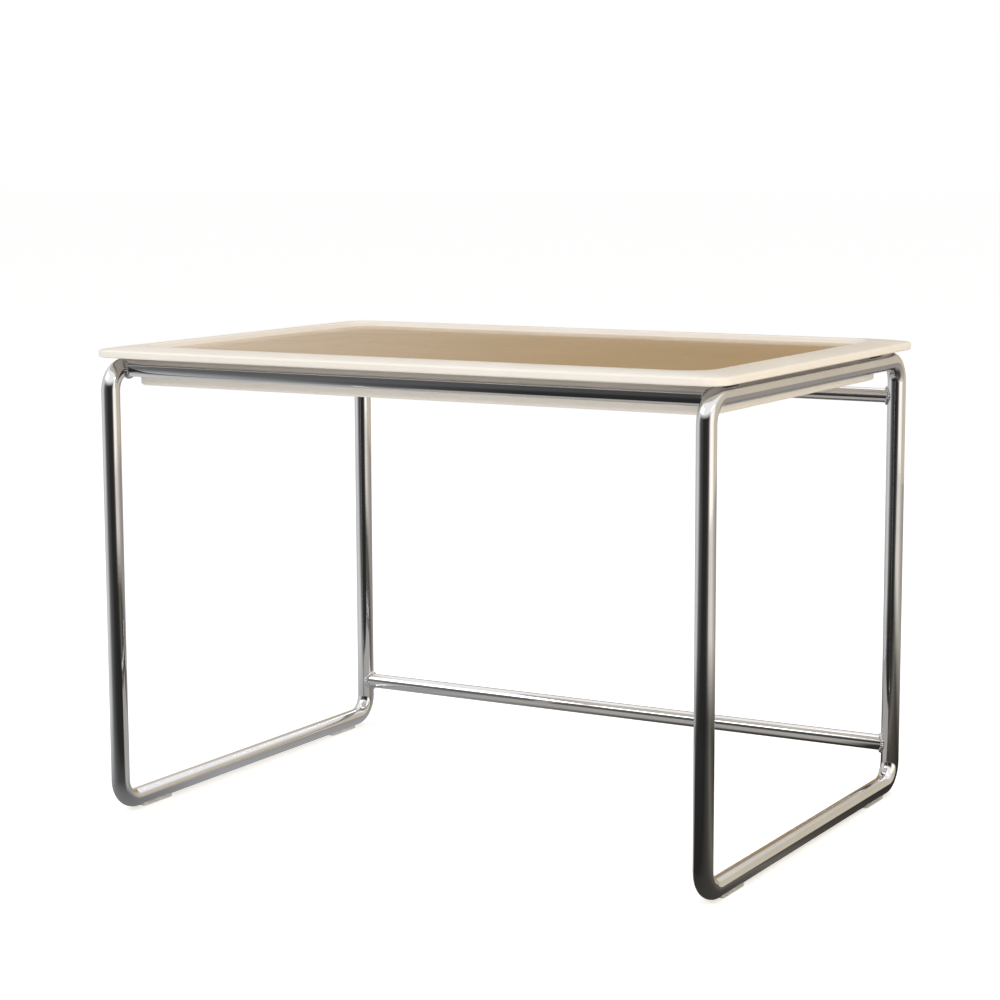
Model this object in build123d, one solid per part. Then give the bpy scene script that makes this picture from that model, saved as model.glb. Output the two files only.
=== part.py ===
from build123d import *
import os

os.makedirs("parts", exist_ok=True)

# Side loops, bent from one round tube each
loop_tube_diameter = 16.0
tube_wall = 1.0
loop_spacing = 560.0
leg_spacing = 394.0
loop_height = 396.0
bend_radius = 20.0
vent_diameter = 4.0
vent_inset = 60.0

# Cross rails
front_rail_diameter = 16.0
rear_top_rail_diameter = 12.7
rear_bottom_rail_diameter = 14.0
rear_top_rail_drop = 32.2
rear_bottom_rail_rise = 34.3
cope_gap = 0.1
weld_leg = 2.0
weld_crown = 0.3
weld_wrap = 4.8

# Sleeve inside each runner, where the ends of the bent tube meet
sleeve_length = 44.0
sleeve_wall = 1.2
sleeve_fit = 0.1

# Clear pads under the runners
runner_pad_length = 40.0
runner_pad_width = 10.0
runner_pad_thickness = 1.2
runner_pad_grip = 1.4
runner_pad_inset = 47.0
runner_pad_corner = 2.5

# Tray deck: floor, raised crest, broad crowned rim and down-turned edge
sheet = 1.2
crest_side_inset = 11.0
crest_end_inset = 19.0
crest_corner_radius = 26.0
deck_clearance = 1.2
crest_rise = 8.2
wall_run = 5.0
rim_run = 34.0
rim_drop = 3.4
rim_crown = 0.9
edge_height = 4.8
edge_return = 5.0
floor_lead = 1.6
rim_fold_radius = 0.8
rim_steps = 6

# Board lying in the deck
board_thickness = 4.2
board_gap = 1.0
board_edge = 0.6

# Skirts folded from strip and welded under the deck
skirt_height = 25.4
skirt_top_flange = 15.0
skirt_bottom_flange = 8.0
skirt_side_clearance = 2.0
skirt_rail_clearance = 1.5
mitre_gap = 0.5
skirt_fold_radius = 2.2

# Hat-section stiffeners under the deck
stiffener_spacing = 190.0
stiffener_width = 32.0
stiffener_depth = 14.0
stiffener_flange = 12.0
stiffener_end_gap = 1.0
joint_gap = 0.1

# Rubber pads between rim and side loops
rim_pad_diameter = 9.0
rim_pad_inset = 47.0
rim_pad_gap = 0.2

# Places that follow from the sizes above
loop_radius = loop_tube_diameter / 2
bore_radius = loop_radius - tube_wall
loop_x = loop_spacing / 2
leg_y = leg_spacing / 2
runner_z = runner_pad_thickness + loop_radius
top_rail_z = runner_pad_thickness + loop_height - loop_radius
loop_top = top_rail_z + loop_radius
front_rail_y = -leg_y + bend_radius
front_rail_radius = front_rail_diameter / 2
floor_z = loop_top + deck_clearance
floor_top = floor_z + sheet
crest_x = loop_x - crest_side_inset
crest_width = 2 * crest_x
crest_depth = 2 * (leg_y - crest_end_inset)
rear_top_rail_z = top_rail_z - rear_top_rail_drop
rear_bottom_rail_z = runner_z + rear_bottom_rail_rise
skirt_x = loop_x - loop_radius - skirt_side_clearance
skirt_y = -(front_rail_y + front_rail_radius) - skirt_rail_clearance


def tube_along(start, end, radius):
    """Round bar from one point to another."""
    line = Vector(*end) - Vector(*start)
    plane = Plane(origin=start, z_dir=line)
    return plane * Cylinder(radius, line.length, align=(Align.CENTER, Align.CENTER, Align.MIN))


def loop_sweep(x, section):
    """Carry a section round the closed centre line of one loop."""
    height = top_rail_z - runner_z
    side = Plane(origin=(x, 0, runner_z + height / 2), x_dir=(0, 1, 0), z_dir=(1, 0, 0))
    path = (side * RectangleRounded(leg_spacing, height, bend_radius)).faces()[0].outer_wire()
    return sweep(Plane(origin=path @ 0, z_dir=path % 0) * section, path)


def loop_bar(x, radius):
    """Solid round bar on a loop's centre line, for shaping what meets the loop."""
    return loop_sweep(x, Circle(radius))


def side_loop(x):
    """Bent tube with its bore and the two vents that plating needs."""
    loop = loop_sweep(x, Circle(loop_radius) - Circle(bore_radius))
    for side in (-1, 1):
        vent = Pos(x, side * (leg_y - vent_inset), runner_z - loop_radius)
        loop -= vent * Cylinder(vent_diameter / 2, loop_radius)
    return loop


def joint_sleeve(x):
    """Short tube bridging the butt joint at the middle of a runner."""
    outer = bore_radius - sleeve_fit
    half = sleeve_length / 2
    start = (x, -half, runner_z)
    end = (x, half, runner_z)
    return tube_along(start, end, outer) - tube_along(start, end, outer - sleeve_wall)


def cross_rail(diameter, y, z):
    """Tube across the stand, its ends shaped to sit on the two loops."""
    start = (-loop_x, y, z)
    end = (loop_x, y, z)
    radius = diameter / 2
    rail = tube_along(start, end, radius) - tube_along(start, end, radius - tube_wall)
    for x in (-loop_x, loop_x):
        rail -= loop_bar(x, loop_radius + cope_gap)
    return rail.solids().sort_by(SortBy.VOLUME)[-1]


def rail_welds(diameter, y, z, upright):
    """Bead round both ends of a rail, trimmed where it would stand off an upright or a level tube."""
    radius = diameter / 2
    full = 2 * (radius + weld_leg)
    trimmed = min(full, 2 * (loop_radius + weld_crown))
    size_y, size_z = (trimmed, full) if upright else (full, trimmed)
    beads = []
    for side in (-1, 1):
        near = (side * (loop_x - loop_radius - 2 * weld_leg), y, z)
        far = (side * (loop_x - loop_radius + weld_wrap), y, z)
        collar = tube_along(near, far, radius + weld_leg) - tube_along(near, far, radius)
        bead = collar & loop_bar(side * loop_x, loop_radius + weld_leg)
        bead -= loop_bar(side * loop_x, loop_radius)
        bead &= Pos(0, y, z) * Box(loop_spacing, size_y, size_z)
        beads.append(bead.solids().sort_by(SortBy.VOLUME)[-1])
    return Compound(children=beads)


def runner_pads():
    """Pads under the runners, hollowed on top to hold the tube."""
    height = runner_pad_thickness + runner_pad_grip
    pads = []
    for x in (-loop_x, loop_x):
        for side in (-1, 1):
            outline = RectangleRounded(runner_pad_width, runner_pad_length, runner_pad_corner)
            block = extrude(outline, height)
            block = Pos(x, side * (leg_y - runner_pad_inset), 0) * block
            pads.append((block - loop_bar(x, loop_radius)).solid())
    return Compound(children=pads)


def ring_of(profile, width, depth, corner_radius):
    """Carry a profile round a rounded rectangle. Its X is the distance outward from that rectangle."""
    straight_x = width / 2 - corner_radius
    straight_y = depth / 2 - corner_radius
    ring = None
    for turn, length, reach in ((0, straight_y, width / 2), (90, straight_x, depth / 2)):
        for half_turn in (0, 180):
            face = Plane(origin=(reach, length, 0), x_dir=(1, 0, 0), z_dir=(0, -1, 0)) * profile
            side = Rot(0, 0, turn + half_turn) * extrude(face, 2 * length, dir=(0, -1, 0))
            ring = side if ring is None else ring + side
    for quarter, (sx, sy) in enumerate(((1, 1), (-1, 1), (-1, -1), (1, -1))):
        face = Plane(origin=(corner_radius, 0, 0), x_dir=(1, 0, 0), z_dir=(0, -1, 0)) * profile
        corner = Rot(0, 0, 90 * quarter) * revolve(face, Axis.Z, 90)
        ring += Pos(sx * straight_x, sy * straight_y, 0) * corner
    return ring


def rim_height(outward):
    """Height of the rim's middle surface at a distance outward from the crest."""
    share = outward / rim_run
    return floor_top + crest_rise - sheet / 2 - rim_drop * share + 4 * rim_crown * share * (1 - share)


def rim_profile():
    """Section of the deck's edge, from the floor over the crest to the hemmed lip."""
    low = floor_z + sheet / 2
    lip_z = rim_height(rim_run) - edge_height + sheet
    path = [(-wall_run - floor_lead - sheet, low), (-wall_run, low), (-sheet, rim_height(0) - sheet / 2)]
    stations = [rim_run * step / rim_steps for step in range(1, rim_steps)]
    path += [(station, rim_height(station)) for station in stations]
    path += [(rim_run - sheet / 2, rim_height(rim_run)), (rim_run - sheet / 2, lip_z)]
    path += [(rim_run - sheet / 2 - edge_return, lip_z)]
    line = FilletPolyline(*path, radius=rim_fold_radius)
    return trace(line, line_width=sheet)


def tray_deck():
    """Formed sheet: flat floor joined to the raised rim all round."""
    reach = wall_run + floor_lead
    floor = RectangleRounded(crest_width - 2 * reach, crest_depth - 2 * reach, crest_corner_radius - reach)
    deck = Pos(0, 0, floor_z) * extrude(floor, sheet)
    return deck + ring_of(rim_profile(), crest_width, crest_depth, crest_corner_radius)


def deck_board():
    """Flat board resting on the deck's floor, a small gap inside the wall."""
    reach = wall_run + floor_lead + board_gap
    outline = RectangleRounded(crest_width - 2 * reach, crest_depth - 2 * reach, crest_corner_radius - reach)
    board = Pos(0, 0, floor_top) * extrude(outline, board_thickness)
    return chamfer(board.faces().sort_by(Axis.Z)[-1].edges(), board_edge)


def skirt(width, reach):
    """Channel-shaped strip along one side of the deck, mitred at both ends."""
    top = floor_z - joint_gap
    bottom = top - skirt_height
    high = top - sheet / 2
    low = bottom + sheet / 2
    web = reach - sheet / 2
    path = [(web - skirt_top_flange, high), (web, high), (web, low), (web - skirt_bottom_flange, low)]
    section = trace(FilletPolyline(*path, radius=skirt_fold_radius), line_width=sheet)
    face = Plane(origin=(0, width / 2, 0), x_dir=(1, 0, 0), z_dir=(0, -1, 0)) * section
    strip = extrude(face, width, dir=(0, -1, 0))
    for side, outward in ((1, Align.MIN), (-1, Align.MAX)):
        big = 4 * skirt_height
        block = Box(big, big, big, align=(Align.CENTER, outward, Align.CENTER))
        corner = Pos(reach, side * (width - mitre_gap) / 2, top)
        strip -= corner * Rot(0, 0, side * 45) * block
    return strip


def deck_stiffeners():
    """Hat sections under the deck, between the front and rear skirts."""
    top = floor_z - joint_gap
    length = 2 * (skirt_y - skirt_top_flange - stiffener_end_gap)
    half = stiffener_width / 2
    high = top - sheet / 2
    low = top - stiffener_depth + sheet / 2
    path = [(-half - stiffener_flange, high), (-half, high), (-half, low)]
    path += [(half, low), (half, high), (half + stiffener_flange, high)]
    section = trace(FilletPolyline(*path, radius=skirt_fold_radius), line_width=sheet)
    face = Plane(origin=(0, length / 2, 0), x_dir=(1, 0, 0), z_dir=(0, -1, 0)) * section
    hat = extrude(face, length, dir=(0, -1, 0))
    return Compound(children=[(Pos(side * stiffener_spacing / 2, 0, 0) * hat).solid() for side in (-1, 1)])


def rim_pads():
    """Rubber blocks fixed under the rim, hollowed below to sit on the side loops."""
    under_rim = rim_height(loop_x - crest_x + rim_pad_diameter / 2) - sheet / 2 - joint_gap
    pads = []
    for x in (-loop_x, loop_x):
        for side in (-1, 1):
            block = extrude(Circle(rim_pad_diameter / 2), under_rim - top_rail_z)
            block = Pos(x, side * (leg_y - rim_pad_inset), top_rail_z) * block
            block -= loop_bar(x, loop_radius + rim_pad_gap)
            pads.append(block.solids().sort_by(Axis.Z)[-1])
    return Compound(children=pads)


nodes = {
    "left_side_loop": side_loop(-loop_x),
    "right_side_loop": side_loop(loop_x),
    "loop_joint_sleeves": Compound(children=[joint_sleeve(-loop_x), joint_sleeve(loop_x)]),
    "front_top_rail": cross_rail(front_rail_diameter, front_rail_y, top_rail_z),
    "rear_top_rail": cross_rail(rear_top_rail_diameter, leg_y, rear_top_rail_z),
    "rear_bottom_rail": cross_rail(rear_bottom_rail_diameter, leg_y, rear_bottom_rail_z),
    "front_rail_welds": rail_welds(front_rail_diameter, front_rail_y, top_rail_z, False),
    "rear_top_rail_welds": rail_welds(rear_top_rail_diameter, leg_y, rear_top_rail_z, True),
    "rear_bottom_rail_welds": rail_welds(rear_bottom_rail_diameter, leg_y, rear_bottom_rail_z, True),
    "runner_pads": runner_pads(),
    "tray_deck": tray_deck(),
    "deck_board": deck_board(),
    "skirt_right": skirt(2 * skirt_y, skirt_x),
    "skirt_left": Rot(0, 0, 180) * skirt(2 * skirt_y, skirt_x),
    "skirt_rear": Rot(0, 0, 90) * skirt(2 * skirt_x, skirt_y),
    "skirt_front": Rot(0, 0, -90) * skirt(2 * skirt_x, skirt_y),
    "deck_stiffeners": deck_stiffeners(),
    "rim_pads": rim_pads(),
}

for name, shape in nodes.items():
    export_step(shape, f"parts/{name}.step")
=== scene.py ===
import bpy
import bmesh
import math
from mathutils import Matrix, Vector


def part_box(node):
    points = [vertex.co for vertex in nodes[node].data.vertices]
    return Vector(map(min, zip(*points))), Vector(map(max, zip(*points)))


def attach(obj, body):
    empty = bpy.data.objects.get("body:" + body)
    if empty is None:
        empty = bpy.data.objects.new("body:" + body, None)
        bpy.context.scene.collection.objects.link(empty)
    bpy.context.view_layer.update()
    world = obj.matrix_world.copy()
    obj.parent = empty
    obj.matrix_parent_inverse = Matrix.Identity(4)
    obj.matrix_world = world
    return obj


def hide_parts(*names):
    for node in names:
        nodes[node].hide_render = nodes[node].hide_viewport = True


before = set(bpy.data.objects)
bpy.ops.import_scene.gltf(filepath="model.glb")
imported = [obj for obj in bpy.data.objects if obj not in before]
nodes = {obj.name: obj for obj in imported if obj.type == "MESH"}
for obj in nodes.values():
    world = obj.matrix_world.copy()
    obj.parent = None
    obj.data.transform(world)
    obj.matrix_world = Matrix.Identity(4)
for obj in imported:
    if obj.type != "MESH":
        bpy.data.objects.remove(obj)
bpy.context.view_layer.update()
millimetre = 0.001
turn = 2 * math.pi
sharpFold = math.radians(50)  # folds tighter than this stay crisp when shaded
print("stage: frame loaded")


def feed(tree, value, socket):
    # wires in what comes out of another node, and sets anything else as a value
    if isinstance(value, bpy.types.NodeSocket):
        tree.links.new(value, socket)
    else:
        socket.default_value = value


def feedAll(tree, node, values):
    for key, value in values.items():
        feed(tree, value, node.inputs[key])


def addNode(tree, kind, inputs=None, **props):
    node = tree.nodes.new(kind)
    for key, value in props.items():
        setattr(node, key, value)
    feedAll(tree, node, inputs or {})
    return node


def mathNode(tree, operation, first, second=0.0, third=0.0):
    inputs = {0: first, 1: second, 2: third}
    return addNode(tree, "ShaderNodeMath", inputs, operation=operation).outputs[0]


def mixColour(tree, factor, first, second):
    # 6 and 7 are the mix node's two colour inputs
    inputs = {0: factor, 6: first, 7: second}
    return addNode(tree, "ShaderNodeMix", inputs, data_type="RGBA").outputs[2]


def spread(tree, value, source, target=(0.0, 1.0)):
    # lays the first range onto the second, and holds at its ends
    return addNode(tree, "ShaderNodeMapRange", {
        "Value": value, "From Min": source[0], "From Max": source[1],
        "To Min": target[0], "To Max": target[1]}).outputs[0]


def noise(tree, vector, scale, detail=3.0, roughness=0.5, distortion=0.0):
    return addNode(tree, "ShaderNodeTexNoise", {
        "Vector": vector, "Scale": scale, "Detail": detail, "Roughness": roughness,
        "Distortion": distortion}).outputs["Fac"]


def stretch(tree, vector, scale):
    return addNode(tree, "ShaderNodeMapping", {"Vector": vector, "Scale": scale}).outputs[0]


def openTree(kind, name, inputs, outputs):
    # an empty tree with named sockets, and what goes into and comes out of it
    tree = bpy.data.node_groups.new(name, kind)
    for label, socketKind in outputs:
        tree.interface.new_socket(label, in_out="OUTPUT", socket_type="NodeSocket" + socketKind)
    for label, socketKind, value in inputs:
        socket = tree.interface.new_socket(label, in_out="INPUT",
                                           socket_type="NodeSocket" + socketKind)
        if value is not None:
            socket.default_value = value
    start = tree.nodes.new("NodeGroupInput")
    end = tree.nodes.new("NodeGroupOutput")
    return tree, start.outputs, end.inputs


def useGroup(tree, group, inputs):
    return addNode(tree, "ShaderNodeGroup", inputs, node_tree=group).outputs[0]


# effects that several finishes share

def buildHandlingMarks():
    # faint wipe marks and dust specks that change how sharp a gloss looks
    look = {"wipeStretch": (1.0, 1.0, 2.2), "wipeRange": (0.42, 0.68),
            "speckScale": 28.0, "speckRange": (0.62, 0.8), "speckShare": 0.7}
    tree, given, result = openTree("ShaderNodeTree", "handlingMarks", [
        ("Vector", "Vector", None), ("Size", "Float", 9.0), ("Base", "Float", 0.1),
        ("Amount", "Float", 0.05)], [("Roughness", "Float")])
    wipe = noise(tree, stretch(tree, given["Vector"], look["wipeStretch"]), given["Size"],
                 detail=4.0, roughness=0.6, distortion=0.8)
    speckSize = mathNode(tree, "MULTIPLY", given["Size"], look["speckScale"])
    speck = noise(tree, given["Vector"], speckSize, detail=2.0)
    wiped = spread(tree, wipe, look["wipeRange"])
    specked = spread(tree, speck, look["speckRange"])
    faintSpecks = mathNode(tree, "MULTIPLY", specked, look["speckShare"])
    mask = mathNode(tree, "MAXIMUM", wiped, faintSpecks)
    rough = mathNode(tree, "MULTIPLY_ADD", mask, given["Amount"], given["Base"])
    feed(tree, rough, result["Roughness"])
    return tree


def buildFinePeel():
    # fine ripple that plated, sprayed and moulded skins have
    look = {"fineScale": 3.1, "fineShare": 0.35, "depth": 0.2 * millimetre}
    tree, given, result = openTree("ShaderNodeTree", "finePeel", [
        ("Vector", "Vector", None), ("Size", "Float", 500.0), ("Strength", "Float", 0.1)],
        [("Normal", "Vector")])
    coarse = noise(tree, given["Vector"], given["Size"], detail=2.0, roughness=0.45)
    fineSize = mathNode(tree, "MULTIPLY", given["Size"], look["fineScale"])
    fine = noise(tree, given["Vector"], fineSize, detail=2.0)
    height = mathNode(tree, "MULTIPLY_ADD", fine, look["fineShare"], coarse)
    bump = addNode(tree, "ShaderNodeBump", {
        "Strength": given["Strength"], "Distance": look["depth"], "Height": height})
    feed(tree, bump.outputs[0], result["Normal"])
    return tree


def buildToneDrift():
    # slow drift between two close colours
    look = {"range": (0.35, 0.68)}
    tree, given, result = openTree("ShaderNodeTree", "toneDrift", [
        ("Vector", "Vector", None), ("Size", "Float", 4.0), ("Light", "Color", (1, 1, 1, 1)),
        ("Deep", "Color", (0.9, 0.9, 0.9, 1))], [("Colour", "Color")])
    drift = noise(tree, given["Vector"], given["Size"], roughness=0.55, distortion=0.4)
    mask = spread(tree, drift, look["range"])
    feed(tree, mixColour(tree, mask, given["Light"], given["Deep"]), result["Colour"])
    return tree


handlingMarks = buildHandlingMarks()
finePeel = buildFinePeel()
toneDrift = buildToneDrift()


# finishes

def newMaterial(name):
    material = bpy.data.materials.new(name)
    material.use_nodes = True
    tree = material.node_tree
    place = addNode(tree, "ShaderNodeTexCoord").outputs["Object"]
    return material, tree, tree.nodes["Principled BSDF"], place


def markSurface(tree, place, look):
    return useGroup(tree, handlingMarks, {
        "Vector": place, "Size": look["markSize"], "Base": look["roughness"],
        "Amount": look["marks"]})


def dressSurface(tree, shader, place, look):
    # colour drift, handling marks and fine peel, which every smooth finish here has
    tone = useGroup(tree, toneDrift, {
        "Vector": place, "Size": look["toneSize"], "Light": look["light"], "Deep": look["deep"]})
    peel = useGroup(tree, finePeel, {
        "Vector": place, "Size": look["peelSize"], "Strength": look["peel"]})
    feedAll(tree, shader, {
        "Base Color": tone, "Roughness": markSurface(tree, place, look), "Normal": peel})
    return tone


def makeSmooth(name, look, plain):
    # plain is what stays the same all over the surface
    material, tree, shader, place = newMaterial(name)
    dressSurface(tree, shader, place, look)
    feedAll(tree, shader, plain)
    return material


def makeCoat():
    look = {"light": (0.88, 0.845, 0.785, 1), "deep": (0.845, 0.805, 0.740, 1), "toneSize": 5.0,
            "roughness": 0.30, "marks": 0.10, "markSize": 13.0, "peel": 0.22, "peelSize": 620.0,
            "speckColour": (0.55, 0.50, 0.44, 1), "speckSize": 1500.0,
            "speckRange": (0.66, 0.80), "speckDepth": 0.10,
            "gloss": 0.25, "glossRoughness": 0.12}
    material, tree, shader, place = newMaterial("creamPowderCoat")
    tone = dressSurface(tree, shader, place, look)
    grains = noise(tree, place, look["speckSize"], detail=1.0)
    speck = spread(tree, grains, look["speckRange"], (0.0, look["speckDepth"]))
    feedAll(tree, shader, {
        "Base Color": mixColour(tree, speck, tone, look["speckColour"]),
        "Coat Weight": look["gloss"], "Coat Roughness": look["glossRoughness"]})
    return material


def makeBoardWood():
    # straight tan grain under satin lacquer, running along the board
    look = {"pale": (0.490, 0.330, 0.165, 1), "mid": (0.455, 0.298, 0.143, 1),
            "dark": (0.375, 0.235, 0.105, 1), "roughness": 0.16, "marks": 0.10, "markSize": 10.0,
            "bandStretch": (0.9, 34.0, 34.0), "bandRange": (0.32, 0.70),
            "fibreStretch": (9.0, 420.0, 420.0), "fibreRange": (0.48, 0.72), "fibreDepth": 0.40,
            "poreStretch": (60.0, 1500.0, 1500.0), "poreRange": (0.62, 0.78), "poreDepth": 0.30,
            "poreSink": -0.5, "relief": 0.12, "reliefDepth": 0.2 * millimetre,
            "lacquer": 0.30, "lacquerRoughness": 0.07}
    material, tree, shader, place = newMaterial("lacqueredBoard")
    band = noise(tree, stretch(tree, place, look["bandStretch"]), 1.0,
                 roughness=0.55, distortion=0.35)
    fibre = noise(tree, stretch(tree, place, look["fibreStretch"]), 1.0,
                  detail=4.0, roughness=0.6, distortion=0.2)
    pore = noise(tree, stretch(tree, place, look["poreStretch"]), 1.0, detail=2.0)
    figure = spread(tree, band, look["bandRange"])
    streak = spread(tree, fibre, look["fibreRange"], (0.0, look["fibreDepth"]))
    pitted = spread(tree, pore, look["poreRange"], (0.0, look["poreDepth"]))
    colour = mixColour(tree, figure, look["pale"], look["mid"])
    colour = mixColour(tree, streak, colour, look["dark"])
    colour = mixColour(tree, pitted, colour, look["dark"])
    bump = addNode(tree, "ShaderNodeBump", {
        "Strength": look["relief"], "Distance": look["reliefDepth"],
        "Height": mathNode(tree, "MULTIPLY_ADD", pore, look["poreSink"], fibre)})
    feedAll(tree, shader, {
        "Base Color": colour, "Roughness": markSurface(tree, place, look),
        "Normal": bump.outputs[0], "Coat Weight": look["lacquer"],
        "Coat Roughness": look["lacquerRoughness"]})
    return material


def makePlainSteel():
    # drawn tube, with marks that run along it
    look = {"dark": (0.46, 0.46, 0.47, 1), "bright": (0.62, 0.62, 0.63, 1),
            "lineStretch": (900.0, 6.0, 900.0), "roughness": (0.28, 0.5)}
    material, tree, shader, place = newMaterial("drawnSteel")
    lines = noise(tree, stretch(tree, place, look["lineStretch"]), 1.0, roughness=0.6)
    feedAll(tree, shader, {
        "Base Color": mixColour(tree, lines, look["dark"], look["bright"]),
        "Roughness": spread(tree, lines, (0.0, 1.0), look["roughness"]), "Metallic": 1.0})
    return material


plating = {"light": (0.86, 0.86, 0.87, 1), "deep": (0.80, 0.80, 0.815, 1), "toneSize": 14.0,
           "roughness": 0.045, "marks": 0.06, "markSize": 11.0, "peel": 0.05, "peelSize": 160.0}
chrome = makeSmooth("polishedChrome", plating, {"Metallic": 1.0})

weldLook = {"light": (0.80, 0.80, 0.81, 1), "deep": (0.60, 0.60, 0.62, 1), "toneSize": 320.0,
            "roughness": 0.12, "marks": 0.16, "markSize": 180.0, "peel": 0.35, "peelSize": 900.0}
weldChrome = makeSmooth("platedWeld", weldLook, {"Metallic": 1.0})

coat = makeCoat()
boardWood = makeBoardWood()

rubberLook = {"light": (0.030, 0.029, 0.028, 1), "deep": (0.012, 0.012, 0.012, 1),
              "toneSize": 220.0, "roughness": 0.52, "marks": 0.25, "markSize": 120.0,
              "peel": 0.4, "peelSize": 1100.0}
rubber = makeSmooth("blackRubber", rubberLook, {})

padLook = {"light": (0.86, 0.88, 0.88, 1), "deep": (0.74, 0.76, 0.76, 1), "toneSize": 90.0,
           "roughness": 0.28, "marks": 0.2, "markSize": 60.0, "peel": 0.2, "peelSize": 700.0}
clearPad = makeSmooth("clearSoftPad", padLook, {"Transmission Weight": 0.55, "IOR": 1.43})

plainSteel = makePlainSteel()
print("stage: finishes made")


# node trees for the tubes, and the helpers that run them

def finishTree(tree, geometry, material, result):
    shaded = addNode(tree, "GeometryNodeSetShadeSmooth", {
        "Geometry": geometry, "Shade Smooth": True})
    real = addNode(tree, "GeometryNodeRealizeInstances", {"Geometry": shaded.outputs[0]})
    named = addNode(tree, "GeometryNodeSetMaterial", {
        "Geometry": real.outputs[0], "Material": material})
    feed(tree, named.outputs[0], result["Geometry"])


def sweepRound(tree, line, radius, sides, **more):
    # a round section carried along a line
    ring = addNode(tree, "GeometryNodeCurvePrimitiveCircle", {
        "Resolution": sides, "Radius": radius})
    return addNode(tree, "GeometryNodeCurveToMesh", {
        "Curve": line, "Profile Curve": ring.outputs[0], **more}).outputs[0]


def bentTubeTree():
    # a round tube along a rounded rectangle that stands in the YZ plane
    tree, given, result = openTree("GeometryNodeTree", "bentTube", [
        ("Depth", "Float", 0.4), ("Height", "Float", 0.4), ("Bend radius", "Float", 0.02),
        ("Tube radius", "Float", 0.008), ("Bend steps", "Int", 24), ("Sides", "Int", 64),
        ("Centre", "Vector", (0, 0, 0)), ("Finish", "Material", None)],
        [("Geometry", "Geometry")])
    box = addNode(tree, "GeometryNodeCurvePrimitiveQuadrilateral", {
        "Width": given["Depth"], "Height": given["Height"]}, mode="RECTANGLE")
    bent = addNode(tree, "GeometryNodeFilletCurve", {
        "Curve": box.outputs[0], "Count": given["Bend steps"],
        "Radius": given["Bend radius"]}, mode="POLY")
    tube = sweepRound(tree, bent.outputs[0], given["Tube radius"], given["Sides"])
    stood = addNode(tree, "GeometryNodeTransform", {
        "Geometry": tube, "Translation": given["Centre"],
        "Rotation": (math.pi / 2, 0, math.pi / 2)})
    finishTree(tree, stood.outputs[0], given["Finish"], result)
    return tree


def straightTubeTree():
    # a capped round tube between two points
    tree, given, result = openTree("GeometryNodeTree", "straightTube", [
        ("Start", "Vector", (0, 0, 0)), ("End", "Vector", (1, 0, 0)),
        ("Tube radius", "Float", 0.008), ("Rings", "Int", 9), ("Sides", "Int", 64),
        ("Finish", "Material", None)], [("Geometry", "Geometry")])
    line = addNode(tree, "GeometryNodeCurvePrimitiveLine", {
        "Start": given["Start"], "End": given["End"]}, mode="POINTS")
    cut = addNode(tree, "GeometryNodeResampleCurve", {
        "Curve": line.outputs[0], "Count": given["Rings"]}, mode="COUNT")
    tube = sweepRound(tree, cut.outputs[0], given["Tube radius"], given["Sides"],
                      **{"Fill Caps": True})
    finishTree(tree, tube, given["Finish"], result)
    return tree


def pointOutwards(mesh):
    work = bmesh.new()
    work.from_mesh(mesh)
    bmesh.ops.remove_doubles(work, verts=work.verts, dist=1e-7)
    bmesh.ops.recalc_face_normals(work, faces=work.faces)
    if work.calc_volume(signed=True) < 0:
        bmesh.ops.reverse_faces(work, faces=work.faces)
    work.to_mesh(mesh)
    work.free()


def addPiece(name, mesh):
    piece = bpy.data.objects.new(name, mesh)
    bpy.context.collection.objects.link(piece)
    return piece


def bakeModifiers(thing, name):
    # the shape that the modifiers give, as a plain mesh
    view = bpy.context.evaluated_depsgraph_get()
    mesh = bpy.data.meshes.new_from_object(thing.evaluated_get(view), depsgraph=view)
    mesh.name = name
    thing.modifiers.clear()
    return mesh


def grow(name, tree, values, points=(), edges=()):
    # runs a tree on these points and edges, or on nothing, and keeps a plain mesh piece
    seedMesh = bpy.data.meshes.new(name + "Seed")
    seedMesh.from_pydata(points, edges, [])
    seed = addPiece(name + "Seed", seedMesh)
    modifier = seed.modifiers.new("grow", "NODES")
    modifier.node_group = tree
    for item in tree.interface.items_tree:
        if item.item_type == "SOCKET" and item.in_out == "INPUT" and item.name in values:
            modifier[item.identifier] = values[item.name]
    seed.update_tag()
    mesh = bakeModifiers(seed, name)
    bpy.data.objects.remove(seed)
    pointOutwards(mesh)
    return addPiece(name, mesh)


def pieceName(nodeName):
    first, *others = nodeName.split("_")
    return first + "".join(word.title() for word in others)


def cutHoles(piece, places, hole):
    # round upright holes, as deep into the surface as the settings say
    work = bmesh.new()
    for place in places:
        bmesh.ops.create_cone(work, cap_ends=True, segments=hole["sides"],
                              radius1=hole["radius"], radius2=hole["radius"],
                              depth=2 * hole["depth"], matrix=Matrix.Translation(place))
    cutterMesh = bpy.data.meshes.new("holeCutter")
    work.to_mesh(cutterMesh)
    work.free()
    cutter = addPiece("holeCutter", cutterMesh)
    modifier = piece.modifiers.new("holes", "BOOLEAN")
    modifier.operation = "DIFFERENCE"
    modifier.solver = "EXACT"
    modifier.object = cutter
    piece.data = bakeModifiers(piece, piece.name)
    piece.data.set_sharp_from_angle(angle=math.radians(hole["sharpDegrees"]))
    bpy.data.objects.remove(cutter)


bentTube = bentTubeTree()
straightTube = straightTubeTree()

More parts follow.
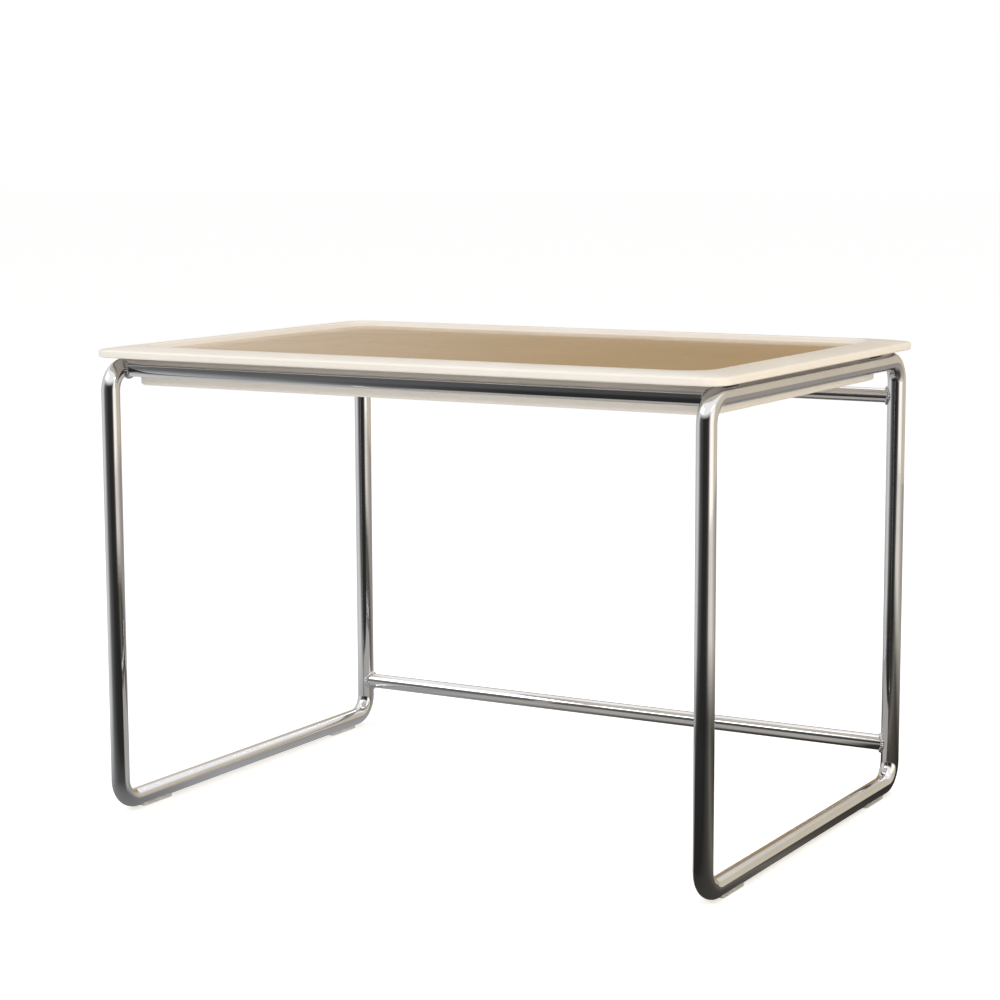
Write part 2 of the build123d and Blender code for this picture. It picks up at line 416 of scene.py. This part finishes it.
sideLoop = {"bendRadius": 20.0 * millimetre, "bendSteps": 28, "sides": 72}
vent = {"radius": 2.0 * millimetre, "inset": 60.0 * millimetre, "depth": 3.0 * millimetre,
        "sides": 32, "sharpDegrees": 40}
for nodeName in ("left_side_loop", "right_side_loop"):
    low, high = (Vector(corner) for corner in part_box(nodeName))
    middle = (low + high) / 2
    tubeRadius = (high.x - low.x) / 2
    piece = grow(pieceName(nodeName), bentTube, {
        "Depth": high.y - low.y - 2 * tubeRadius, "Height": high.z - low.z - 2 * tubeRadius,
        "Bend radius": sideLoop["bendRadius"], "Tube radius": tubeRadius,
        "Bend steps": sideLoop["bendSteps"], "Sides": sideLoop["sides"], "Centre": middle,
        "Finish": chrome})
    ventY = high.y - tubeRadius - vent["inset"]
    cutHoles(piece, [Vector((middle.x, y, low.z)) for y in (-ventY, ventY)], vent)
    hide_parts(nodeName)
    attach(piece, "frame")
loopX, loopRadius = middle.x, tubeRadius  # of the right loop, which came last
print("stage: side loops")

crossRail = {"sides": 72, "intoLoop": 0.55}  # how far a rail's end reaches in, in loop radii
railPlaces = {}
for nodeName in ("front_top_rail", "rear_top_rail", "rear_bottom_rail"):
    low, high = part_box(nodeName)
    radius = (high[2] - low[2]) / 2
    y, z = (high[1] + low[1]) / 2, (high[2] + low[2]) / 2
    reach = loopX - crossRail["intoLoop"] * loopRadius
    piece = grow(pieceName(nodeName), straightTube, {
        "Start": Vector((-reach, y, z)), "End": Vector((reach, y, z)), "Tube radius": radius,
        "Sides": crossRail["sides"], "Finish": chrome})
    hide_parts(nodeName)
    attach(piece, "frame")
    railPlaces[nodeName] = (y, z, radius)
print("stage: cross rails")


# weld beads round the rail ends

def weldTree():
    # a rippled bead along the closed line that comes in as a mesh
    tree, given, result = openTree("GeometryNodeTree", "weldBead", [
        ("Line", "Geometry", None), ("Bead radius", "Float", 0.0015),
        ("Ripple pitch", "Float", 0.0016), ("Ripple depth", "Float", 0.16),
        ("Step", "Float", 0.0003), ("Sides", "Int", 12), ("Finish", "Material", None)],
        [("Geometry", "Geometry")])
    line = addNode(tree, "GeometryNodeMeshToCurve", {"Mesh": given["Line"]})
    even = addNode(tree, "GeometryNodeResampleCurve", {
        "Curve": line.outputs[0], "Length": given["Step"]}, mode="LENGTH")
    along = addNode(tree, "GeometryNodeSplineParameter").outputs["Length"]
    ripples = mathNode(tree, "DIVIDE", along, given["Ripple pitch"])
    wave = mathNode(tree, "SINE", mathNode(tree, "MULTIPLY", ripples, turn))
    swell = mathNode(tree, "MULTIPLY_ADD", wave, given["Ripple depth"], 1.0)
    bead = sweepRound(tree, even.outputs[0], given["Bead radius"], given["Sides"], Scale=swell)
    finishTree(tree, bead, given["Finish"], result)
    return tree


weld = {"beadRadius": 1.5 * millimetre, "proud": 0.5 * millimetre, "wrap": 4.8 * millimetre,
        "points": 120}
weldNodes = {"front_top_rail": "front_rail_welds", "rear_top_rail": "rear_top_rail_welds",
             "rear_bottom_rail": "rear_bottom_rail_welds"}
loopLow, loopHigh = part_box("right_side_loop")
halfDepth = (loopHigh[1] - loopLow[1]) / 2 - loopRadius
halfHeight = (loopHigh[2] - loopLow[2]) / 2 - loopRadius
loopMiddle = (loopHigh[2] + loopLow[2]) / 2


def awayFromLoop(y, z):
    # distance, in the loop's own plane, from the centre line of its bent tube
    bend = sideLoop["bendRadius"]
    acrossY, acrossZ = abs(y) - halfDepth + bend, abs(z - loopMiddle) - halfHeight + bend
    outside = math.hypot(max(acrossY, 0.0), max(acrossZ, 0.0))
    return outside + min(max(acrossY, acrossZ), 0.0) - bend


def weldOutline(railY, railZ, railRadius):
    # closed lines round both ends of a rail, where it meets the loops' round faces
    outline, edges = [], []
    for side in (-1, 1):
        first = len(outline)
        for step in range(weld["points"]):
            angle = turn * step / weld["points"]
            y = railY + (railRadius + weld["proud"]) * math.cos(angle)
            z = railZ + (railRadius + weld["proud"]) * math.sin(angle)
            away = awayFromLoop(y, z)
            depth = math.sqrt(max((loopRadius + weld["proud"]) ** 2 - away ** 2, 0.0))
            depth = max(depth, loopRadius - weld["wrap"] + weld["beadRadius"])
            outline.append((side * (loopX - depth), y, z))
            edges.append((first + step, first + (step + 1) % weld["points"]))
    return outline, edges


weldBead = weldTree()
for nodeName, railPlace in railPlaces.items():
    outline, edges = weldOutline(*railPlace)
    piece = grow(pieceName(nodeName) + "Welds", weldBead, {
        "Bead radius": weld["beadRadius"], "Finish": weldChrome}, outline, edges)
    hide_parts(weldNodes[nodeName])
    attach(piece, "frame")
print("stage: weld beads")


# the formed deck and its board are rows of points carried round a rounded rectangle

def roundedPath(points, radii, steps):
    # each corner with a radius becomes an arc
    path = [Vector(points[0])]
    for before, corner, after, radius in zip(points, points[1:], points[2:], radii):
        corner = Vector(corner)
        if radius == 0:
            path.append(corner)
            continue
        back, on = (Vector(before) - corner).normalized(), (Vector(after) - corner).normalized()
        half = back.angle(on) / 2
        centre = corner + (back + on).normalized() * (radius / math.sin(half))
        run = radius / math.tan(half)
        first, last = corner + back * run - centre, corner + on * run - centre
        sweep = first.angle_signed(last)
        for step in range(steps + 1):
            angle = -sweep * step / steps
            path.append(centre + Vector((
                first.x * math.cos(angle) - first.y * math.sin(angle),
                first.x * math.sin(angle) + first.y * math.cos(angle))))
    return path + [Vector(points[-1])]


def wallSides(path, thickness):
    # the two faces of a sheet that has this path as its middle
    sides = ([], [])
    for index, point in enumerate(path):
        ahead = path[min(index + 1, len(path) - 1)] - path[max(index - 1, 0)]
        across = Vector((-ahead.y, ahead.x)).normalized() * thickness / 2
        sides[0].append(point + across)
        sides[1].append(point - across)
    return sides


def carryRound(name, rows, halfX, halfY, corner, material):
    # rows run from the middle of the upper face, over the edge, to the middle of the lower one;
    # cornerSpread is how fast the corner radius grows with the distance outward
    work = bmesh.new()
    rings = []
    for outward, z in rows:
        ring = []
        radius = corner["cornerRadius"] + outward * (corner["cornerSpread"] if outward > 0 else 1)
        for quarter, (signX, signY) in enumerate(((1, 1), (-1, 1), (-1, -1), (1, -1))):
            centreX = signX * (halfX + outward - radius)
            centreY = signY * (halfY + outward - radius)
            for step in range(corner["cornerSteps"] + 1):
                angle = turn / 4 * (quarter + step / corner["cornerSteps"])
                ring.append(work.verts.new((centreX + radius * math.cos(angle),
                                            centreY + radius * math.sin(angle), z)))
        rings.append(ring)
    for inner, outer in zip(rings, rings[1:]):
        for index in range(len(inner)):
            after = (index + 1) % len(inner)
            work.faces.new((inner[index], outer[index], outer[after], inner[after]))
    work.faces.new(rings[0])
    work.faces.new(list(reversed(rings[-1])))
    for face in work.faces:
        face.smooth = True
    mesh = bpy.data.meshes.new(name)
    work.to_mesh(mesh)
    work.free()
    mesh.materials.append(material)
    pointOutwards(mesh)
    mesh.set_sharp_from_angle(angle=sharpFold)
    return addPiece(name, mesh)


deck = {"sheet": 1.2 * millimetre, "wallRun": 5.0 * millimetre, "floorLead": 1.6 * millimetre,
        "solidRimRun": 34.0 * millimetre,  # the rim's width in the solids
        "rimRun": 26.0 * millimetre, "rimDrop": 2.6 * millimetre, "rimCrown": 0.65 * millimetre,
        "edgeHeight": 6.4 * millimetre, "edgeReturn": 5.0 * millimetre,
        "crestRise": 8.12 * millimetre, "crestLean": 0.6,  # lean in sheet thicknesses
        "floorBend": 1.6 * millimetre, "crestBend": 1.7 * millimetre,
        "edgeBend": 1.1 * millimetre, "cornerRadius": 26.0 * millimetre, "cornerSpread": -0.35,
        "rimSteps": 14, "cornerSteps": 24, "arcSteps": 6}
deckLow, deckHigh = (Vector(corner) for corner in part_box("tray_deck"))
crestX, crestY = deckHigh.x - deck["solidRimRun"], deckHigh.y - deck["solidRimRun"]


def rimHeight(outward):
    share = outward / deck["rimRun"]
    top = deckLow.z + deck["sheet"] / 2 + deck["crestRise"]
    return top - deck["rimDrop"] * share + 4 * deck["rimCrown"] * share * (1 - share)


def deckRows():
    # across the sheet: floor, wall, crest, crowned rim, down-turned edge and hemmed lip
    sheet, floorMiddle = deck["sheet"], deckLow.z + deck["sheet"] / 2
    lip = rimHeight(deck["rimRun"]) - deck["edgeHeight"] + sheet
    edge = deck["rimRun"] - sheet / 2
    points = [(-deck["wallRun"] - deck["floorLead"] - sheet, floorMiddle),
              (-deck["wallRun"], floorMiddle), (-sheet * deck["crestLean"], rimHeight(0))]
    radii = [deck["floorBend"], deck["crestBend"]]
    for step in range(2, deck["rimSteps"]):
        outward = deck["rimRun"] * step / deck["rimSteps"]
        points.append((outward, rimHeight(outward)))
        radii.append(0)
    points += [(edge, rimHeight(deck["rimRun"])), (edge, lip), (edge - deck["edgeReturn"], lip)]
    radii += [deck["edgeBend"], deck["edgeBend"]]
    upper, lower = wallSides(roundedPath(points, radii, deck["arcSteps"]), sheet)
    return upper + list(reversed(lower))


piece = carryRound("trayDeck", deckRows(), crestX, crestY, deck, coat)
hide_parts("tray_deck")
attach(piece, "tray")

board = {"edge": 0.7 * millimetre, "cornerRadius": 18.4 * millimetre, "cornerSpread": 1,
         "cornerSteps": 20, "arcSteps": 5}
boardLow, boardHigh = (Vector(corner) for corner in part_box("deck_board"))


def boardRows():
    # flat, with both edges rounded over
    edge = board["edge"]
    arc = [turn / 4 * step / board["arcSteps"] for step in range(board["arcSteps"] + 1)]
    rows = [(-3 * edge, boardHigh.z)]
    rows += [(edge * (math.sin(a) - 1), boardHigh.z + edge * (math.cos(a) - 1)) for a in arc]
    rows += [(edge * (math.cos(a) - 1), boardLow.z + edge * (1 - math.sin(a))) for a in arc]
    return rows + [(-3 * edge, boardLow.z)]


piece = carryRound("deckBoard", boardRows(), boardHigh.x, boardHigh.y, board, boardWood)
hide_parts("deck_board")
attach(piece, "tray")
print("stage: deck and board")

# solids that stay as they are, with their finishes
carried = {
    "loop_joint_sleeves": plainSteel, "runner_pads": clearPad, "rim_pads": rubber,
    "skirt_front": coat, "skirt_rear": coat, "skirt_left": coat, "skirt_right": coat,
    "deck_stiffeners": coat,
}
for nodeName, material in carried.items():
    nodeMaterials = nodes[nodeName].data.materials
    nodeMaterials.clear()
    nodeMaterials.append(material)
print("stage: carried solids finished")


# floor, light and camera

def directlySeen(tree):
    # 1 for rays from the camera, off gloss and through clear things, 0 for the rest
    rays = addNode(tree, "ShaderNodeLightPath").outputs
    seen = mathNode(tree, "MAXIMUM", rays["Is Camera Ray"], rays["Is Glossy Ray"])
    return mathNode(tree, "MAXIMUM", seen, rays["Is Transmission Ray"])


def makeFloor():
    # matt, lifted towards white only where it is seen directly, and clear from below, so that
    # the underside can be looked at
    look = {"size": 60.0, "drop": 0.2 * millimetre, "colour": (0.82, 0.815, 0.81, 1),
            "roughness": 0.9, "glow": 0.52}
    half, z = look["size"] / 2, -look["drop"]
    mesh = bpy.data.meshes.new("floor")
    mesh.from_pydata([(-half, -half, z), (half, -half, z), (half, half, z), (-half, half, z)],
                     [], [(0, 1, 2, 3)])
    floor = addPiece("floor", mesh)
    material = bpy.data.materials.new("paleFloor")
    material.use_nodes = True
    tree = material.node_tree
    shader = tree.nodes["Principled BSDF"]
    feedAll(tree, shader, {
        "Base Color": look["colour"], "Roughness": look["roughness"], "Specular IOR Level": 0.0,
        "Emission Color": (1, 1, 1, 1),
        "Emission Strength": mathNode(tree, "MULTIPLY", directlySeen(tree), look["glow"])})
    below = addNode(tree, "ShaderNodeNewGeometry").outputs["Backfacing"]
    clear = addNode(tree, "ShaderNodeBsdfTransparent")
    both = addNode(tree, "ShaderNodeMixShader", {
        0: below, 1: shader.outputs[0], 2: clear.outputs[0]})
    feed(tree, both.outputs[0], tree.nodes["Material Output"].inputs["Surface"])
    mesh.materials.append(material)


def makeWorld():
    # white where it is seen directly, and a weaker fill light otherwise
    look = {"fill": 0.58}
    world = bpy.data.worlds.new("studioWorld")
    bpy.context.scene.world = world
    world.use_nodes = True
    tree = world.node_tree
    feedAll(tree, tree.nodes["Background"], {
        "Color": (1, 1, 1, 1),
        "Strength": spread(tree, directlySeen(tree), (0.0, 1.0), (look["fill"], 1.0))})


def addLamp(name, place, aim, size, power, colour, inGloss):
    data = bpy.data.lights.new(name, "AREA")
    data.shape = "RECTANGLE"
    data.size, data.size_y = size
    data.energy = power
    data.color = colour
    lamp = addPiece(name, data)
    lamp.location = place
    lamp.rotation_euler = (Vector(aim) - Vector(place)).to_track_quat("-Z", "Y").to_euler()
    lamp.visible_glossy = inGloss


makeFloor()
makeWorld()
lamps = {
    "keyLamp": {"place": (-1.9, -2.1, 2.2), "aim": (0, 0, 0.25), "size": (1.8, 1.4),
                "power": 33.0, "colour": (1.0, 0.99, 0.97), "inGloss": True},
    "sideLamp": {"place": (2.6, -0.6, 1.2), "aim": (0, 0, 0.25), "size": (1.2, 1.6),
                 "power": 29.0, "colour": (1.0, 0.79, 0.52), "inGloss": True},
    "topLamp": {"place": (0.2, 0.5, 2.8), "aim": (0, 0, 0.25), "size": (2.2, 2.2),
                "power": 12.0, "colour": (1.0, 1.0, 1.0), "inGloss": True},
    "lowLamp": {"place": (0.5, -1.9, 0.14), "aim": (0, 0, 0.36), "size": (1.4, 0.24),
                "power": 5.0, "colour": (1.0, 0.98, 0.95), "inGloss": False},
}
for name, lamp in lamps.items():
    addLamp(name, **lamp)


def ramp(tree, value, stops):
    # stops are compass angle in degrees, red, green and blue
    node = addNode(tree, "ShaderNodeValToRGB", {"Fac": value})
    elements = node.color_ramp.elements
    while len(elements) < len(stops):
        elements.new(0.5)
    for element, (angle, red, green, blue) in zip(elements, stops):
        element.position = (angle + 180) / 360
        element.color = (red, green, blue, 1)
    return node.outputs["Color"]


# painted reflections: glowing tones on a wall and disc round the stand, seen only in gloss
surround = {
    "radius": 2.4, "height": 1.65, "lift": 0.5 * millimetre, "steps": 96,
    "soften": 1.0, "topColour": (0.92, 0.92, 0.92, 1),  # above soften the wall fades to this
    "closeCentre": (0.35, -0.25), "closeRange": (0.55, 1.0),  # where the close tones end
    "underHalf": (0.245, 0.190), "underRange": (0.85, 1.0), "underShadeReflection": (0.43, 0.41, 0.38, 1),
    "wall": (
        (-180, 0.52, 0.43, 0.31), (-165, 0.32, 0.225, 0.12), (-152, 0.40, 0.31, 0.20),
        (-138, 0.62, 0.55, 0.46), (-120, 0.64, 0.62, 0.60), (-100, 0.60, 0.60, 0.61),
        (-70, 0.74, 0.74, 0.75), (-52, 0.50, 0.50, 0.51), (-40, 0.14, 0.14, 0.145),
        (-22, 0.07, 0.07, 0.07), (5, 0.025, 0.024, 0.022), (38, 0.03, 0.028, 0.025),
        (52, 0.10, 0.09, 0.08), (62, 0.85, 0.82, 0.76), (72, 1.25, 1.2, 1.1),
        (96, 1.15, 1.08, 0.96), (108, 0.60, 0.54, 0.45), (135, 0.66, 0.59, 0.48),
        (160, 0.60, 0.53, 0.42), (180, 0.52, 0.43, 0.31)),
    "ground": (
        (-180, 0.34, 0.32, 0.30), (-150, 0.44, 0.43, 0.42), (-100, 0.62, 0.62, 0.62),
        (-70, 0.70, 0.70, 0.70), (-52, 0.46, 0.46, 0.46), (-40, 0.15, 0.15, 0.15),
        (-22, 0.08, 0.08, 0.08), (5, 0.025, 0.024, 0.022), (38, 0.03, 0.028, 0.025),
        (52, 0.12, 0.11, 0.10), (64, 0.72, 0.68, 0.62), (90, 0.80, 0.76, 0.70),
        (110, 0.52, 0.47, 0.40), (140, 0.36, 0.33, 0.29), (165, 0.30, 0.28, 0.26),
        (180, 0.34, 0.32, 0.30)),
    "close": (
        (-180, 0.10, 0.095, 0.09), (-120, 0.22, 0.22, 0.22), (-80, 0.30, 0.30, 0.30),
        (-50, 0.10, 0.10, 0.10), (-20, 0.03, 0.03, 0.03), (40, 0.022, 0.021, 0.020),
        (60, 0.06, 0.055, 0.05), (76, 0.15, 0.14, 0.12), (95, 0.08, 0.07, 0.06),
        (130, 0.03, 0.028, 0.025), (180, 0.10, 0.095, 0.09)),
}


def surroundMesh():
    # a floor disc with a wall round it
    points, faces = [(0, 0, surround["lift"])], []
    for step in range(surround["steps"]):
        angle = turn * step / surround["steps"]
        for z in (surround["lift"], surround["height"]):
            points.append((surround["radius"] * math.sin(angle),
                           -surround["radius"] * math.cos(angle), z))
        here, after = 1 + 2 * step, 1 + 2 * ((step + 1) % surround["steps"])
        faces += [(0, here, after), (here, after, after + 1, here + 1)]
    mesh = bpy.data.meshes.new("paintedReflectionSurround")
    mesh.from_pydata(points, [], faces)
    return mesh


def surroundMaterial():
    # soft tones by compass angle, dark towards the front, as the photo's plating mirrors them
    # painted reflections: this emission is no lamp and shows only as reflections
    material = bpy.data.materials.new("paintedReflectionSurround")
    material.use_nodes = True
    tree = material.node_tree
    tree.nodes.remove(tree.nodes["Principled BSDF"])
    place = addNode(tree, "ShaderNodeTexCoord").outputs["Object"]
    x, y, z = addNode(tree, "ShaderNodeSeparateXYZ", {0: place}).outputs
    compass = mathNode(tree, "ARCTAN2", x, mathNode(tree, "MULTIPLY", y, -1.0))
    share = spread(tree, compass, (-math.pi, math.pi))
    wall, ground, close = (ramp(tree, share, surround[key]) for key in ("wall", "ground", "close"))

    # painted shade: close to the stand the reflected disc turns darker, and this fades out over
    # closeRange
    awayX = mathNode(tree, "SUBTRACT", x, surround["closeCentre"][0])
    awayY = mathNode(tree, "SUBTRACT", y, surround["closeCentre"][1])
    squared = mathNode(tree, "MULTIPLY_ADD", awayX, awayX,
                       mathNode(tree, "MULTIPLY", awayY, awayY))
    away = spread(tree, mathNode(tree, "SQRT", squared), surround["closeRange"])
    low = mixColour(tree, away, close, ground)

    # painted shade: a mid tone on the disc right under the stand, which the undersides mirror
    insideX = mathNode(tree, "DIVIDE", mathNode(tree, "ABSOLUTE", x), surround["underHalf"][0])
    insideY = mathNode(tree, "DIVIDE", mathNode(tree, "ABSOLUTE", y), surround["underHalf"][1])
    inside = mathNode(tree, "MAXIMUM", insideX, insideY)
    under = spread(tree, inside, surround["underRange"], (1.0, 0.0))
    low = mixColour(tree, under, low, surround["underShadeReflection"])

    upright = mathNode(tree, "GREATER_THAN", z, 2 * surround["lift"])
    colour = mixColour(tree, upright, low, wall)
    top = spread(tree, z, (surround["soften"], surround["height"]))
    colour = mixColour(tree, top, colour, surround["topColour"])
    glow = addNode(tree, "ShaderNodeEmission", {"Color": colour, "Strength": 1.0})
    feed(tree, glow.outputs[0], tree.nodes["Material Output"].inputs["Surface"])
    return material


def makeSurround():
    # a glowing sheet, no lamp, that only gloss sees: it paints reflections into the plating and
    # the coat
    piece = addPiece("paintedReflectionSurround", surroundMesh())
    piece.data.materials.append(surroundMaterial())
    piece.visible_camera = False
    piece.visible_diffuse = False
    piece.visible_shadow = False
    piece.visible_transmission = False


makeSurround()
print("stage: studio set")

# fitted to the photo; the two pixel values only give the lens
photoCamera = {"azimuth": 29.84, "elevation": 8.07, "roll": -0.22,
               "place": (1.04659, -1.84173, 0.57061),
               "focalPixels": 2451.67, "framePixels": 1000.0, "sensor": 36.0}
azimuth, elevation = (math.radians(photoCamera[key]) for key in ("azimuth", "elevation"))
forward = Vector((-math.sin(azimuth) * math.cos(elevation),
                  math.cos(azimuth) * math.cos(elevation), -math.sin(elevation)))
cameraData = bpy.data.cameras.new("photoCamera")
cameraData.sensor_width = photoCamera["sensor"]
cameraData.lens = photoCamera["focalPixels"] / photoCamera["framePixels"] * photoCamera["sensor"]
camera = addPiece("photoCamera", cameraData)
camera.matrix_world = (
    Matrix.Translation(photoCamera["place"])
    @ forward.to_track_quat("-Z", "Y").to_matrix().to_4x4()
    @ Matrix.Rotation(math.radians(photoCamera["roll"]), 4, "Z"))
bpy.context.scene.camera = camera
bpy.context.scene.view_settings.view_transform = "Standard"
print("stage: camera set")

bpy.context.view_layer.update()
